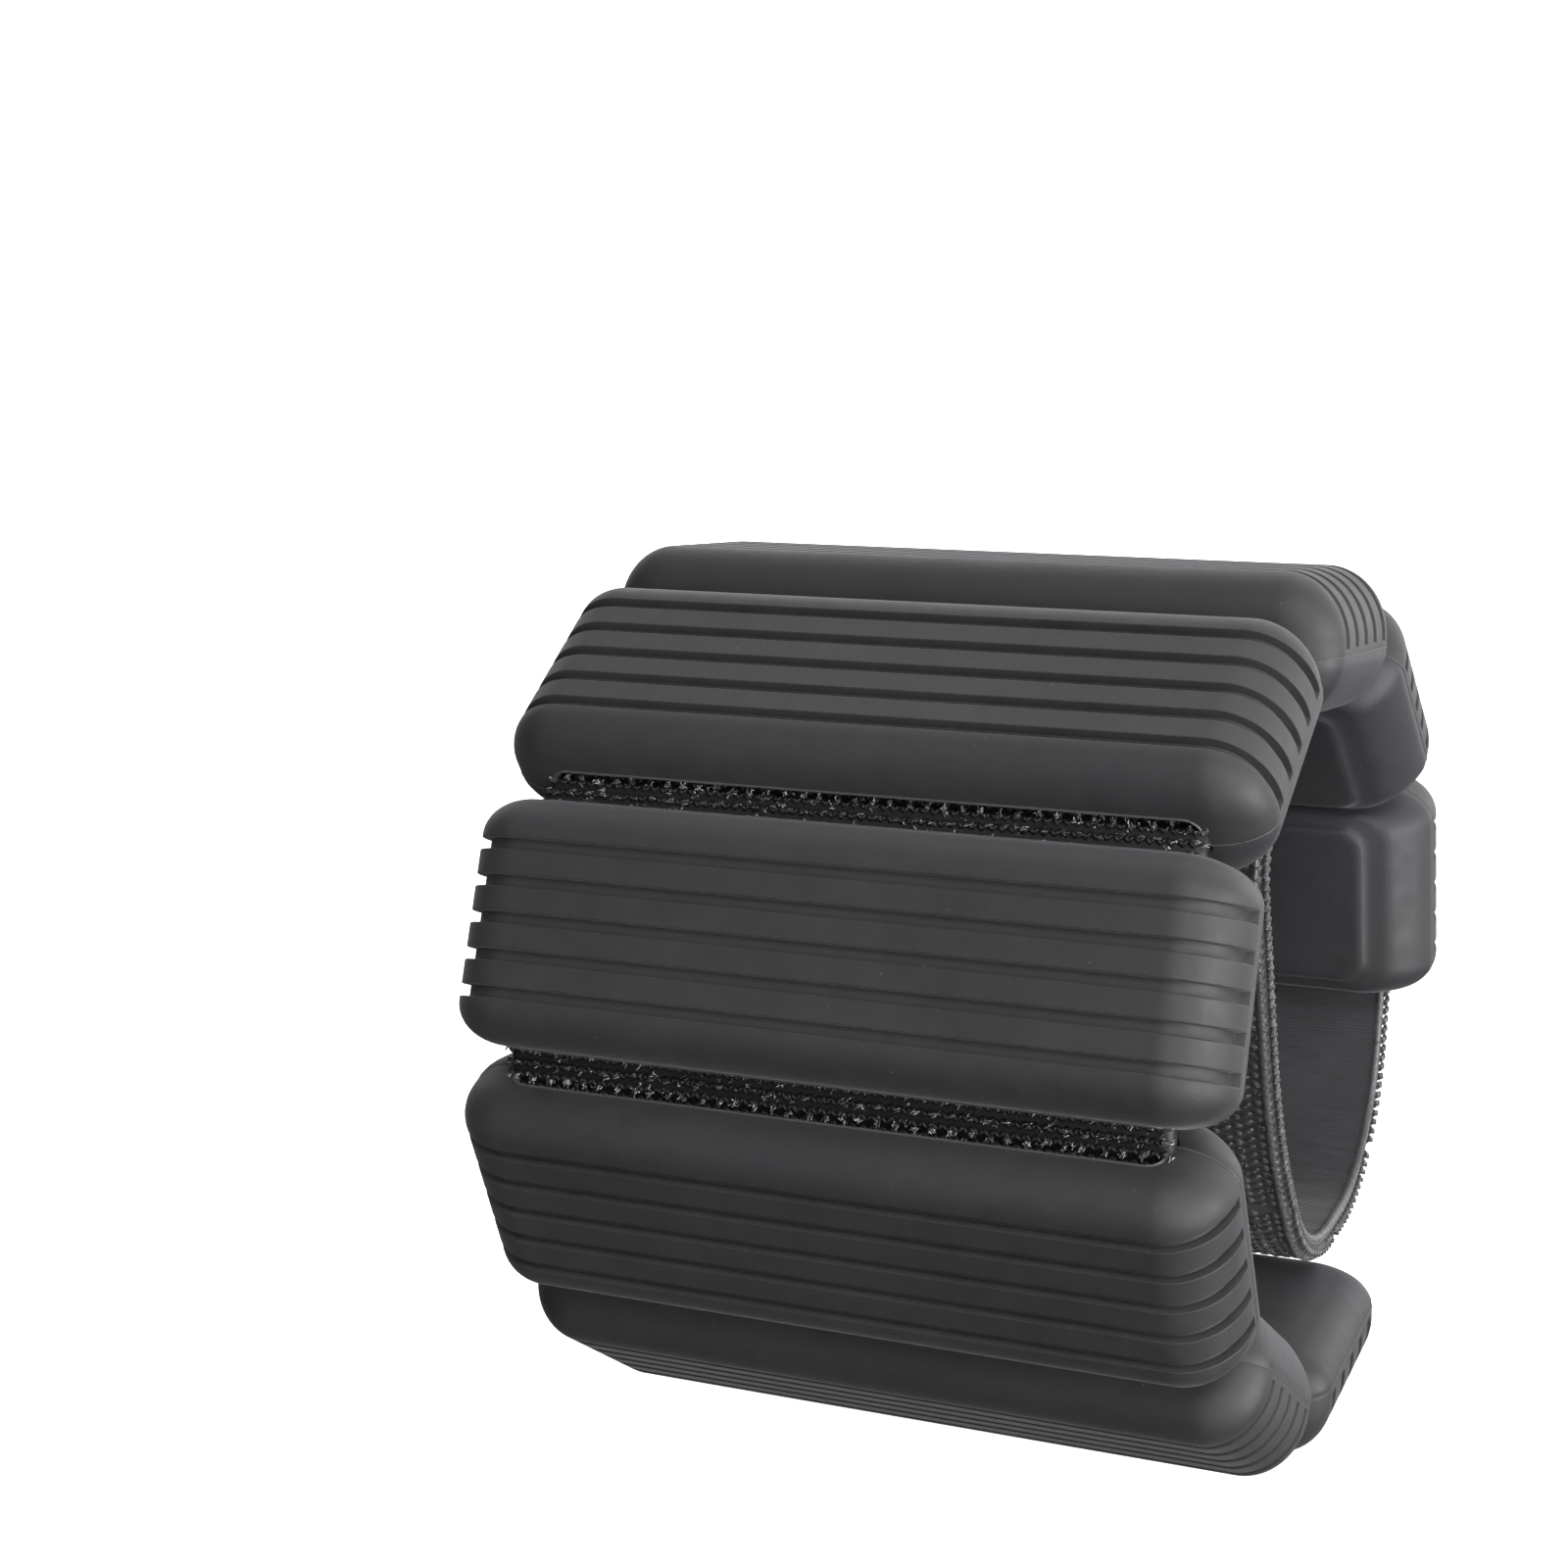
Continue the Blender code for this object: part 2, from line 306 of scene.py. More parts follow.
def groove_columns():
    """(u, depth below the skin) of the lengthwise lines over the ribbed part of the outer face."""
    brink = GROOVE_HALF + GROOVE_LIP
    half = [(brink + 0.05, 0.0)]
    for degrees in (0, 20, 40, 60, 78):
        angle = math.radians(degrees)
        half.append((brink - GROOVE_LIP * math.sin(angle), GROOVE_LIP * (1 - math.cos(angle))))
    foot = GROOVE_HALF - GROOVE_DRAFT
    half.append((foot, GROOVE_DEPTH - GROOVE_FLOOR_RADIUS))
    half.append((foot - 0.3 * GROOVE_FLOOR_RADIUS, GROOVE_DEPTH - 0.3 * GROOVE_FLOOR_RADIUS))
    half.append((foot - GROOVE_FLOOR_RADIUS, GROOVE_DEPTH))
    columns = [(-FLAT_U, 0.0)]
    for index in range(GROOVES):
        centre = (index - (GROOVES - 1) / 2) * GROOVE_PITCH
        columns += [(centre - offset, depth) for offset, depth in half]
        columns.append((centre, GROOVE_DEPTH))
        columns += [(centre + offset, depth) for offset, depth in reversed(half)]
        if index < GROOVES - 1:
            columns.append((centre + GROOVE_PITCH / 2, 0.0))
    columns.append((FLAT_U, 0.0))
    return columns


def cover_levels():
    """Rings of the cover, outer face first: (reach, v at the ends, v at the sides, groove share, inset).

    The reach goes from 0 at the flat face to 1 at the walls.
    """
    levels = []
    for step in range(19):
        angle = QUARTER * step / 18
        ends, sides = (wall + (OUTER_V - wall) * math.cos(angle) for wall in (END_WALL_V, SIDE_WALL_V))
        levels.append((math.sin(angle), ends, sides, 1.0, 0.0))
    for rise, side_v, share in GROOVE_RUNOUT:
        levels.append((1.0, GROOVE_STOP_V + rise, side_v, share, 0.0))
    for degrees in (0, 30, 60, 90):
        angle = math.radians(degrees)
        v = COVER_BOTTOM_V + PARTING_EDGE * (1 - math.sin(angle))
        levels.append((1.0, v, v, 0.0, PARTING_EDGE * (1 - math.cos(angle))))
    levels.append((1.0, COVER_BOTTOM_V, COVER_BOTTOM_V, 0.0, PARTING_LAND))
    return levels


def cover_ring(level, columns, stations):
    """One closed ring of the cover: +x end, corner, +u side, corner, -x end, corner, -u side, corner."""
    reach, end_v, side_v, share, inset = level
    lean = math.sqrt(max(0.0, 1.0 - reach**2))
    normal = np.array([reach / EDGE_X, lean / (OUTER_V - END_WALL_V)])
    normal = normal / np.linalg.norm(normal)
    reach_x, reach_u = EDGE_X * reach - inset, EDGE_U * reach - inset
    end = []
    for u, depth in columns:
        cut = depth * share * normal
        end.append((FLAT_X + reach_x - cut[0], u, end_v - cut[1]))
    corner = []
    for step in range(1, 12):
        a = QUARTER * step / 12
        v = end_v * math.cos(a) ** 2 + side_v * math.sin(a) ** 2
        corner.append((FLAT_X + reach_x * math.cos(a), FLAT_U + reach_u * math.sin(a), v))
    side = [(x, FLAT_U + reach_u, side_v) for x in stations]
    half = end + corner + side + [(-x, u, v) for x, u, v in reversed(corner)]
    return half + [(-x, -u, v) for x, u, v in half]


def cover_mesh():
    """Ribbed outer moulding as one fine closed mesh, before the band's slot is cut."""
    columns = groove_columns()
    stations = np.linspace(FLAT_X, -FLAT_X, 13)
    levels = cover_levels()
    rings = [cover_ring(level, columns, stations) for level in levels]
    count = len(rings[0])
    points = [point for ring in rings for point in ring]
    faces = list(grid_quads(len(rings), count, True))
    faces.append(range(len(points) - count, len(points)))
    start = len(points)
    for u, depth in columns:
        points += [(x, u, OUTER_V - depth) for x in stations]
    faces += list(grid_quads(len(columns), len(stations), False) + start)
    return welded(mesh_from("bar_cover", points, faces), WELD)


def base_mesh(name, levels):
    """Inner moulding with its panel, before the slot is cut."""
    rows = [(PARTING_LAND, PARTING_LAND, BASE_TOP_V)]
    for degrees in (90, 60, 30):
        angle = math.radians(degrees)
        inset = PARTING_EDGE * (1 - math.cos(angle))
        rows.append((inset, inset, BASE_TOP_V - PARTING_EDGE * (1 - math.sin(angle))))
    rows = np.concatenate([np.array(rows), chaikin(levels, 3)])
    rings = []
    for inset_x, inset_u, v in rows:
        share = min(1.0, inset_x / levels[-2][0]) if v < COVER_BOTTOM_V - 1 else 0.0
        radius_x = EDGE_X + (PANEL_CORNER - EDGE_X) * share - (inset_x if v > 1 else 0.0)
        radius_u = EDGE_U + (PANEL_CORNER - EDGE_U) * share - (inset_u if v > 1 else 0.0)
        centre_x, centre_u = HALF_X - inset_x - radius_x, HALF_U - inset_u - radius_u
        quarter = []
        for step in range(13):
            a = QUARTER * step / 12
            quarter.append((centre_x + radius_x * math.cos(a), centre_u + radius_u * math.sin(a), v))
        half = quarter + [(x, centre_u + radius_u, v) for x in np.linspace(centre_x, -centre_x, 9)[1:-1]]
        half += [(-x, u, v) for x, u, v in reversed(quarter)]
        half += [(-centre_x - radius_x, u, v) for u in np.linspace(centre_u, -centre_u, 5)[1:-1]]
        rings.append(half + [(-x, -u, v) for x, u, v in half])
    count = len(rings[0])
    points = [point for ring in rings for point in ring]
    faces = list(grid_quads(len(rings), count, True))
    faces += ends_of(rings, count)
    return welded(mesh_from(name, points, faces), WELD)


def arc(x, v, radius, start, stop, steps=8):
    """Points (x, v) on an arc, from one angle to the other in degrees."""
    angles = [math.radians(start + (stop - start) * step / steps) for step in range(steps + 1)]
    return [(x + radius * math.cos(a), v + radius * math.sin(a)) for a in angles]


def cover_slot_side(extra):
    """Half of the cover's opening, widened by `extra`: (x, v) from the parting line up to the flat top."""
    foot = COVER_SLOT_FOOT - extra
    half_x, high = COVER_SLOT_HALF_X + extra, COVER_SLOT_TOP_V + extra
    corner = COVER_SLOT_CORNER + extra
    side = [(half_x + foot, COVER_BOTTOM_V - 1.0)]
    side += arc(half_x + foot, COVER_BOTTOM_V + foot, foot, -90, -180)
    return side + arc(half_x - corner, high - corner, corner, 0, 90)


def base_slot_side(extra):
    """Half of the base's opening, widened by `extra`: (x, v) from the parting line down to the flat floor."""
    half_x, low = BASE_SLOT_HALF_X + extra, BASE_SLOT_FLOOR_V - extra
    corner = BASE_SLOT_CORNER + extra
    return [(half_x, BASE_TOP_V + 1.0)] + arc(half_x - corner, low + corner, corner, 0, -90)


def slot_mesh(name, half_outline):
    """The space cut across a moulding for the band, with a flared mouth in each long wall."""
    depths = [0.0, 0.03, 0.07, 0.13, 0.2, SLOT_MOUTH]
    flare = [SLOT_MOUTH - math.sqrt(SLOT_MOUTH**2 - (SLOT_MOUTH - d) ** 2) for d in depths]
    side = [(HALF_U + 1.0, SLOT_MOUTH)] + [(HALF_U - d, e) for d, e in zip(depths, flare)]
    stations = side + [(-u, e) for u, e in reversed(side)]
    points = []
    for u, extra in stations:
        half = half_outline(extra)
        points += [(x, u, v) for x, v in half] + [(-x, u, v) for x, v in reversed(half)]
    count = len(points) // len(stations)
    faces = list(grid_quads(len(stations), count, True))
    faces += ends_of(stations, count)
    return welded(mesh_from(name, points, faces), WELD)


def flash_mesh():
    """The fine lip round the cover's two openings, and the flash between them along the parting line."""
    side = cover_slot_side(SLOT_MOUTH)[1:]
    lip = [(x, HALF_U, v) for x, v in reversed(side)]
    lip = [(-x, u, v) for x, u, v in reversed(lip)] + lip
    end = []
    for step in range(25):
        a = QUARTER * (1 - step / 24)
        end.append((FLAT_X + EDGE_X * math.cos(a), FLAT_U + EDGE_U * math.sin(a), COVER_BOTTOM_V))
    end += [(x, -u, v) for x, u, v in reversed(end)]
    half = lip + end
    loop = half + [(-x, -u, v) for x, u, v in half]
    path = np.array(loop + loop[:1])
    radii = [LIP_RADIUS] * len(lip) + [FLASH_RADIUS] * len(end)
    for index in range(LIP_FADE):
        radius = FLASH_RADIUS + (LIP_RADIUS - FLASH_RADIUS) * index / LIP_FADE
        radii[index] = radii[len(lip) - 1 - index] = radius
    radii = np.array(radii * 2 + radii[:1])
    points, quads = tubes(path[None] * MM, radii[None], 6)
    return quad_mesh("bar_flash", points, quads)


def bar_masters():
    """Finished meshes of the cover, the base and bar 1's base, in metres, each with the slot cut through."""
    cutters = [
        placed("cover_slot", slot_mesh("cover_slot", cover_slot_side), None),
        placed("base_slot", slot_mesh("base_slot", base_slot_side), None),
    ]
    made = []
    bases = (base_mesh("bar_base", BASE_LEVELS), base_mesh("closure_base", CLOSURE_LEVELS))
    for mesh in (cover_mesh(), *bases):
        raw = placed(mesh.name + "_raw", mesh, None)
        cut = applied_cut(raw, cutters[0 if mesh.name == "bar_cover" else 1])
        cut.name = mesh.name + "_cut"
        bpy.data.objects.remove(raw)
        welded(cut, WELD)
        cut.transform(Matrix.Scale(MM, 4))
        cut.shade_smooth()
        cut.set_sharp_from_angle(angle=math.radians(BAR_SHARP_ANGLE))
        cut.materials.clear()
        made.append(cut)
    for cutter in cutters:
        bpy.data.objects.remove(cutter)
    return made


# ---- route of the band and the strap


def centre(node):
    """Middle of a node's box at rest."""
    low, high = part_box(node)
    return (low + high) / 2


def bar_frames():
    """(origin, along, out) of each bar. Its origin is its middle on the hinge lines' level."""
    frames = []
    for number in range(1, BAR_COUNT + 1):
        band, core = centre(f"bar_{number}_band"), centre(f"bar_{number}_core")
        out = (band - core).normalized()
        along = out.cross(Vector((1.0, 0.0, 0.0)))
        frames.append((band - out * BAND_V * MM, along, out))
    return frames


def flat(vector):
    """(y, z) of a point, in millimetres."""
    return np.array([vector.y, vector.z]) / MM


def rounded_route(corners, cuts):
    """The line through the corners, in (y, z), with an arc at each inner one, which starts `cut` before it.

    Gives rows of (s, y, z, heading) and the s of each arc's middle.
    """
    headings = [math.atan2(*(b - a)[::-1]) for a, b in zip(corners, corners[1:])]
    point, s = corners[0], 0.0
    rows, marks = [(0.0, *point, headings[0])], []
    for corner, cut, before, after in zip(corners[1:-1], cuts, headings, headings[1:]):
        turn = (after - before + math.pi) % (2 * math.pi) - math.pi
        radius = cut / math.tan(abs(turn) / 2)
        start = corner - cut * np.array([math.cos(before), math.sin(before)])
        s += float(np.linalg.norm(start - point))
        point = start
        rows.append((s, *point, rows[-1][3]))
        half_turn = turn / BEND_STEPS / 2
        chord = 2 * radius * math.sin(abs(half_turn))
        for _ in range(BEND_STEPS):
            heading = rows[-1][3] + half_turn
            point = point + chord * np.array([math.cos(heading), math.sin(heading)])
            s += chord
            rows.append((s, *point, heading + half_turn))
        marks.append(s - chord * BEND_STEPS / 2)
    s += float(np.linalg.norm(corners[-1] - point))
    rows.append((s, *corners[-1], rows[-1][3]))
    return np.array(rows), marks


BARS = bar_frames()
HINGES = {joint["name"]: Vector(joint["pos_m"]) for joint in frame["joints"]}


def band_route():
    """The band's and strap's middle line. Its marks are the seven bar hinges, then the six strap hinges."""
    first, last = BARS[0], BARS[-1]
    corners = [flat(first[0] + first[2] * BAND_V * MM - first[1] * (HALF_U - 0.5) * MM)]
    cuts = []
    for number in range(2, BAR_COUNT + 1):
        hinge = HINGES[f"bar_{number}_hinge"]
        bisector = (BARS[number - 2][2] + BARS[number - 1][2]).normalized()
        share = bisector.dot(BARS[number - 1][2])
        corners.append(flat(hinge + bisector * (BAND_V * MM / share)))
        cuts.append(BAND_BEND_CUT)
    joints = [flat(HINGES[f"strap_{number}_hinge"]) for number in range(1, STRAP_COUNT + 1)]
    tail = flat(centre(f"strap_{STRAP_COUNT}"))
    end = joints[-1] + 2 * (tail - joints[-1])
    spans = [np.linalg.norm(b - a) for a, b in zip(joints + [end], joints[1:] + [end])]
    for index, joint in enumerate(joints):
        corners.append(joint)
        if index == 0:
            cuts.append(STRAP_EXIT_CUT)
        else:
            cuts.append(STRAP_CUT_SHARE / 2 * min(spans[index - 1], spans[index]))
    corners.append(end)
    return rounded_route(corners, cuts)


ROUTE, MARKS = band_route()
BAR_MARKS, STRAP_MARKS = MARKS[: BAR_COUNT - 1], MARKS[BAR_COUNT - 1 :]
ROUTE_END = float(ROUTE[-1, 0])


def on_route(local):
    """Points (x, s, h) in millimetres along the route, as world points in metres."""
    local = np.asarray(local, float)
    s = local[..., 1]
    heading = np.interp(s, ROUTE[:, 0], ROUTE[:, 3])
    y = np.interp(s, ROUTE[:, 0], ROUTE[:, 1]) - local[..., 2] * np.sin(heading)
    z = np.interp(s, ROUTE[:, 0], ROUTE[:, 2]) + local[..., 2] * np.cos(heading)
    return np.stack([local[..., 0], y, z], axis=-1) * MM


# ---- tubes, ribbons, stitches


def tubes(paths, radii, sides=4):
    """Tubes along many paths at once: paths is (tubes, points, 3) in world metres, radii in millimetres.

    Their ends are closed where they have four sides.
    """
    tangent = np.gradient(paths, axis=1)
    tangent /= np.linalg.norm(tangent, axis=2, keepdims=True) + 1e-12
    guide = np.where(np.abs(tangent[..., :1]) > 0.9, np.array([0.0, 1.0, 0.0]), np.array([1.0, 0.0, 0.0]))
    across = np.cross(tangent, guide)
    across /= np.linalg.norm(across, axis=2, keepdims=True) + 1e-12
    over = np.cross(tangent, across)
    turn = 2 * math.pi * (np.arange(sides) + 0.5) / sides
    ring = across[:, :, None] * np.cos(turn)[:, None] + over[:, :, None] * np.sin(turn)[:, None]
    points = paths[:, :, None] + ring * (np.asarray(radii) * MM)[..., None, None]
    number, length = paths.shape[:2]
    body = grid_quads(length, sides, True)[:, ::-1]
    if sides == 4:
        ends = np.array([[0, 1, 2, 3], [(length - 1) * sides + k for k in (3, 2, 1, 0)]])
        body = np.concatenate([body, ends])
    quads = (body[None] + (np.arange(number) * length * sides)[:, None, None]).reshape(-1, 4)
    return points.reshape(-1, 3), quads


def joined(parts):
    """One set of points and quads, and a tone per point, from several (points, quads, tone)."""
    points, quads, tones, start = [], [], [], 0
    for some_points, some_quads, tone in parts:
        points.append(some_points)
        quads.append(some_quads + start)
        tones.append(np.broadcast_to(tone, len(some_points)))
        start += len(some_points)
    return np.concatenate(points), np.concatenate(quads), np.concatenate(tones)


def tone_mesh(name, parts):
    """One mesh of several (points, quads, tone), with the tone as an attribute of its points."""
    points, quads, tones = joined(parts)
    mesh = quad_mesh(name, points, quads)
    layer = mesh.attributes.new("tone", "FLOAT", "POINT")
    layer.data.foreach_set("value", np.ascontiguousarray(tones, np.float32))
    return mesh


def oval_profile(half_x, low, high, corner, steps=6, across=7):
    """Closed (x, h) outline of a flat strip with rounded edges, anticlockwise from the +x lower corner."""
    outline = []
    corners = ((1, 1), (-1, 1), (-1, -1), (1, -1))
    for turn, (sign_x, sign_h) in enumerate(corners):
        cx = sign_x * (half_x - corner)
        ch = high - corner if sign_h > 0 else low + corner
        for step in range(steps + 1):
            a = QUARTER * (turn + step / steps)
            outline.append((cx + corner * math.cos(a), ch + corner * math.sin(a)))
        if turn in (0, 2):
            run = np.linspace(cx, -cx, across)[1:-1]
            outline += [(x, high if turn == 0 else low) for x in run]
    return np.array(outline)


def ribbon(profile, stations, rib=0.0):
    """Strip of the (x, h) profile along the route, open at its ends, with fine ribs across its inner face."""
    count = len(profile)
    local = np.empty((len(stations), count, 3))
    local[:, :, 0] = profile[None, :, 0]
    local[:, :, 1] = np.asarray(stations)[:, None]
    local[:, :, 2] = profile[None, :, 1]
    if rib:
        low, high = profile[:, 1].min(), profile[:, 1].max()
        share = np.clip((0.5 * (low + high) - profile[:, 1]) / (0.5 * (high - low)), 0, 1)
        wave = 0.5 + 0.5 * np.cos(2 * math.pi * np.asarray(stations) / RIB_PERIOD)
        wave *= 0.75 + 0.25 * np.cos(2 * math.pi * np.asarray(stations) / (RIB_PERIOD * 9.3))
        local[:, :, 2] -= rib * share[None, :] * wave[:, None]
    points = on_route(local).reshape(-1, 3)
    quads = grid_quads(len(stations), count, True)
    return points, quads


def stitches(x, s, h, lean, length, radius, bulge):
    """Short fat loops of yarn lying on a face: each is centred at (x, s, h) and turned by `lean`."""
    t = np.linspace(-1, 1, 5)
    x, s, h = (np.asarray(a, float)[:, None] for a in (x, s, h))
    lean = np.asarray(lean, float)[:, None]
    local = np.stack(
        [
            x + t * length / 2 * np.cos(lean),
            s + t * length / 2 * np.sin(lean),
            h + bulge * (1 - t**2),
        ],
        axis=-1,
    )
    radii = np.broadcast_to(radius * np.array([0.5, 0.92, 1.0, 0.92, 0.5]), local.shape[:2])
    return tubes(on_route(local), radii)


def tufts(x, s, h, count, size, rng):
    """Small brushes of yarn: `count` filaments that rise from each (x, s) and fan out, `size` high."""
    number = len(x) * count
    x, s = np.repeat(x, count), np.repeat(s, count)
    swing = rng.uniform(0, 2 * math.pi, number)[:, None]
    fan = rng.uniform(0.05, 0.55, number)[:, None] * size
    rise = rng.uniform(0.55, 1.1, number)[:, None] * size
    curl = rng.uniform(0.45, 0.8, number)[:, None]
    t = np.linspace(0, 1, 6)[None, :]
    base_x = (x + rng.normal(0, 0.13, number))[:, None]
    base_s = (s + rng.normal(0, 0.10, number))[:, None]
    local = np.stack(
        [
            base_x + fan * t**1.5 * np.cos(swing) + 0.05 * np.sin(6 * t + swing),
            base_s + fan * t**1.5 * np.sin(swing),
            h + rise * np.sin(math.pi * t * curl),
        ],
        axis=-1,
    )
    radii = rng.uniform(0.032, 0.06, number)[:, None] * np.linspace(1.0, 0.75, 6)[None, :]
    points, quads = tubes(on_route(local), radii)
    # The higher tones take the band pile's near-white bright colour, a painted glint on shiny black fibres.
    tone = np.repeat(rng.choice([0.02, 0.12, 0.4, 1.0], number, p=[0.30, 0.28, 0.24, 0.18]), 6 * 4)
    return points, quads, tone


def dashes(x, s, h, count, rng):
    """Small flat bundles of yarn that lie across the band, `count` filaments each."""
    number = len(x) * count
    x, s = np.repeat(x, count), np.repeat(s, count)
    lean = rng.normal(0.22, 0.16, number)[:, None]
    length = rng.uniform(0.5, 1.0, number)[:, None]
    t = np.linspace(-0.5, 0.5, 5)[None, :]
    local = np.stack(
        [
            (x + rng.normal(0, 0.12, number))[:, None] + length * t * np.cos(lean),
            (s + rng.normal(0, 0.09, number))[:, None] + length * t * np.sin(lean),
            h + 0.26 * (1 - 4 * t**2) + rng.uniform(0.0, 0.16, number)[:, None],
        ],
        axis=-1,
    )
    radii = rng.uniform(0.035, 0.065, number)[:, None] * np.array([0.6, 1.0, 1.0, 1.0, 0.6])[None, :]
    points, quads = tubes(on_route(local), radii)
    # The higher tones take the band pile's near-white bright colour, a painted glint on shiny black fibres.
    tone = np.repeat(rng.choice([0.02, 0.12, 0.35, 0.8], number, p=[0.38, 0.34, 0.19, 0.09]), 5 * 4)
    return points, quads, tone


# ---- materials


class Look:
    """A material's node tree, with short calls for the nodes that the looks are made of."""

    def __init__(self, name):
        self.material = bpy.data.materials.new(name)
        self.material.use_nodes = True
        self.nodes = self.material.node_tree.nodes
        self.links = self.material.node_tree.links
        self.shader = self.nodes["Principled BSDF"]

    def node(self, kind, **settings):
        made = self.nodes.new(kind)
        for key, value in settings.items():
            setattr(made, key, value)
        return made

    def join(self, source, target):
        self.links.new(source, target)

    def set(self, **sockets):
        for name, value in sockets.items():
            self.shader.inputs[name.replace("_", " ")].default_value = value

    def noise(self, vector, scale, detail=3.0, roughness=0.55):
        made = self.node("ShaderNodeTexNoise")
        made.inputs["Scale"].default_value = scale
        made.inputs["Detail"].default_value = detail
        made.inputs["Roughness"].default_value = roughness
        self.join(vector, made.inputs["Vector"])
        return made.outputs["Fac"]

    def math(self, operation, a, b):
        made = self.node("ShaderNodeMath", operation=operation)
        for index, value in enumerate((a, b)):
            if isinstance(value, (int, float)):
                made.inputs[index].default_value = value
            else:
                self.join(value, made.inputs[index])
        return made.outputs[0]

    def ramp(self, fac, low, high, start, stop):
        made = self.node("ShaderNodeMapRange", clamp=True)
        for key, value in (("From Min", start), ("From Max", stop), ("To Min", low), ("To Max", high)):
            made.inputs[key].default_value = value
        self.join(fac, made.inputs["Value"])
        return made.outputs["Result"]

    def mix(self, fac, a, b):
        made = self.node("ShaderNodeMix", data_type="RGBA")
        for index, value in ((0, fac), (6, a), (7, b)):
            if isinstance(value, tuple):
                made.inputs[index].default_value = (*value, 1.0)
            elif isinstance(value, (int, float)):
                made.inputs[index].default_value = value
            else:
                self.join(value, made.inputs[index])
        return made.outputs[2]

    def shifted(self, amount):
        """Object coordinates moved by the object's random number, so that shared meshes don't repeat."""
        place = self.node("ShaderNodeTexCoord")
        info = self.node("ShaderNodeObjectInfo")
        shift = self.math("MULTIPLY", info.outputs["Random"], amount)
        made = self.node("ShaderNodeVectorMath", operation="ADD")
        self.join(place.outputs["Object"], made.inputs[0])
        self.join(shift, made.inputs[1])
        return made.outputs[0]

    def paint(self, colour, rough, normal):
        """Joins the three inputs that every look works out."""
        self.join(colour, self.shader.inputs["Base Color"])
        self.join(rough, self.shader.inputs["Roughness"])
        self.join(normal, self.shader.inputs["Normal"])

    def bump(self, height, distance, strength, after=None):
        made = self.node("ShaderNodeBump")
        made.inputs["Strength"].default_value = strength
        made.inputs["Distance"].default_value = distance
        self.join(height, made.inputs["Height"])
        if after is not None:
            self.join(after, made.inputs["Normal"])
        return made.outputs["Normal"]


def silicone_look(name, dark, light, bluish, rough):
    """Matt dark silicone: mottled, faintly bluish in patches, with a fine grain and some dust."""
    look = Look(name)
    place = look.shifted(0.7)
    broad = look.noise(place, 55.0, 2.0)
    mottle = look.noise(place, 420.0, 4.0, 0.62)
    grain = look.noise(place, 5200.0, 2.0)
    tone = look.math("ADD", look.math("MULTIPLY", broad, 0.6), look.math("MULTIPLY", mottle, 0.4))
    body = look.mix(look.ramp(tone, 0.0, 1.0, 0.36, 0.64), dark, light)
    body = look.mix(look.ramp(look.noise(place, 38.0, 1.0), 0.0, 0.6, 0.40, 0.66), body, bluish)
    specks = look.node("ShaderNodeTexVoronoi")
    specks.inputs["Scale"].default_value = 620.0
    look.join(place, specks.inputs["Vector"])
    near = look.ramp(specks.outputs["Distance"], 1.0, 0.0, 0.035, 0.085)
    chosen = look.ramp(look.noise(place, 300.0, 1.0), 0.0, 0.55, 0.56, 0.66)
    dust = look.math("MULTIPLY", near, chosen)
    fine = look.bump(grain, 0.00006, 0.35)
    look.paint(
        look.mix(dust, body, (0.15, 0.15, 0.155)),
        look.ramp(mottle, rough - 0.05, rough + 0.08, 0.3, 0.7),
        look.bump(mottle, 0.00008, 0.25, fine),
    )
    look.set(Sheen_Weight=0.15, Sheen_Roughness=0.40, Specular_IOR_Level=0.48)
    look.shader.inputs["Sheen Tint"].default_value = (0.95, 0.95, 1.0, 1.0)
    return look.material


def yarn_look(name, dark, bright, rough, sheen, scale):
    """Black or dark grey yarn. The tone attribute picks out the shinier filaments and mixes in the bright
    tone: lighter filaments on the strap's knit and hook tape, and a painted glint on the band pile's shiny
    black fibres.
    """
    look = Look(name)
    place = look.shifted(0.3)
    tone = look.node("ShaderNodeAttribute", attribute_name="tone").outputs["Fac"]
    fuzz = look.noise(place, scale, 3.0)
    body = look.mix(look.ramp(fuzz, 0.0, 1.0, 0.35, 0.65), dark, tuple(c * 1.9 for c in dark))
    look.paint(
        look.mix(tone, body, bright),
        look.ramp(tone, rough, rough * 0.55, 0.0, 1.0),
        look.bump(look.noise(place, scale * 4, 2.0), 0.00005, 0.6),
    )
    look.set(Sheen_Weight=sheen, Sheen_Roughness=0.5)
    return look.material


def webbing_look(name, dark, light):
    """Woven elastic with fine streaks across it."""
    look = Look(name)
    place = look.shifted(0.2)
    streaks = look.node("ShaderNodeMapping")
    streaks.inputs["Scale"].default_value = (0.12, 1.0, 1.0)
    look.join(place, streaks.inputs["Vector"])
    lines = look.noise(streaks.outputs[0], 2600.0, 3.0)
    patches = look.noise(place, 140.0, 3.0)
    tone = look.math("ADD", look.math("MULTIPLY", lines, 0.65), look.math("MULTIPLY", patches, 0.35))
    fine = look.bump(lines, 0.0001, 0.5)
    look.paint(
        look.mix(look.ramp(tone, 0.0, 1.0, 0.36, 0.64), dark, light),
        look.ramp(lines, 0.62, 0.82, 0.3, 0.7),
        look.bump(look.noise(place, 5000.0, 2.0), 0.00005, 0.4, fine),
    )
    look.set(Sheen_Weight=0.35, Sheen_Roughness=0.4)
    return look.material


